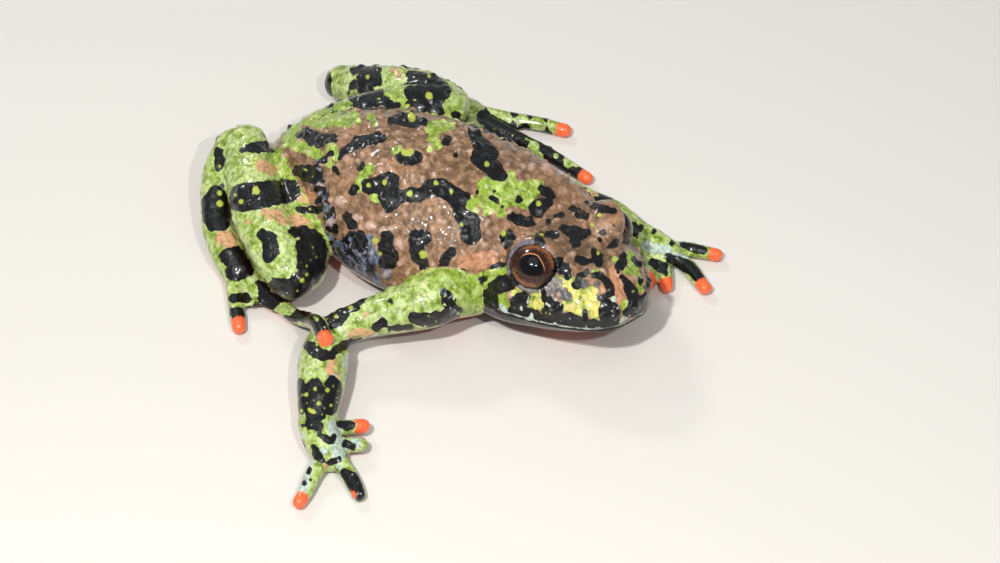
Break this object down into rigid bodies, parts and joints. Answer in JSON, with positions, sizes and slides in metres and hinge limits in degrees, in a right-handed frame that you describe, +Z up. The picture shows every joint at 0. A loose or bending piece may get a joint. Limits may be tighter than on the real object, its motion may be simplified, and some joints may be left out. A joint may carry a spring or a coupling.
{
  "type": "fire-bellied toad",
  "caption": "Life-size still model of a small warty toad, sitting with its head up and turned to one side, arms spread and hind legs folded.",
  "frame": {"origin": "on the floor, under the middle of the bounding box", "axes": "+Z up, the toad's body faces -Y, its left side is +X"},
  "size_m": [0.0598, 0.0528, 0.015],
  "materials": {
    "skin_back": "wet brown skin with tubercles",
    "skin_throat": "wet red-orange and black skin",
    "skin_limb": "wet green and black skin",
    "skin_digit": "wet green and black skin with orange tips",
    "eye": "dark, glossy"
  },
  "bodies": {
    "root": {"head": "skin_back", "lower_jaw": "skin_throat", "torso": "skin_back", "eye_right": "eye", "eye_left": "eye", "upper_arm_right": "skin_limb", "upper_arm_left": "skin_limb", "forearm_right": "skin_limb", "forearm_left": "skin_limb", "hand_right": "skin_digit", "hand_left": "skin_digit", "thigh_right": "skin_limb", "thigh_left": "skin_limb", "shank_right": "skin_limb", "shank_left": "skin_limb", "tarsus_right": "skin_limb", "tarsus_left": "skin_limb", "foot_right": "skin_digit", "foot_left": "skin_digit"}
  },
  "joints": []
}
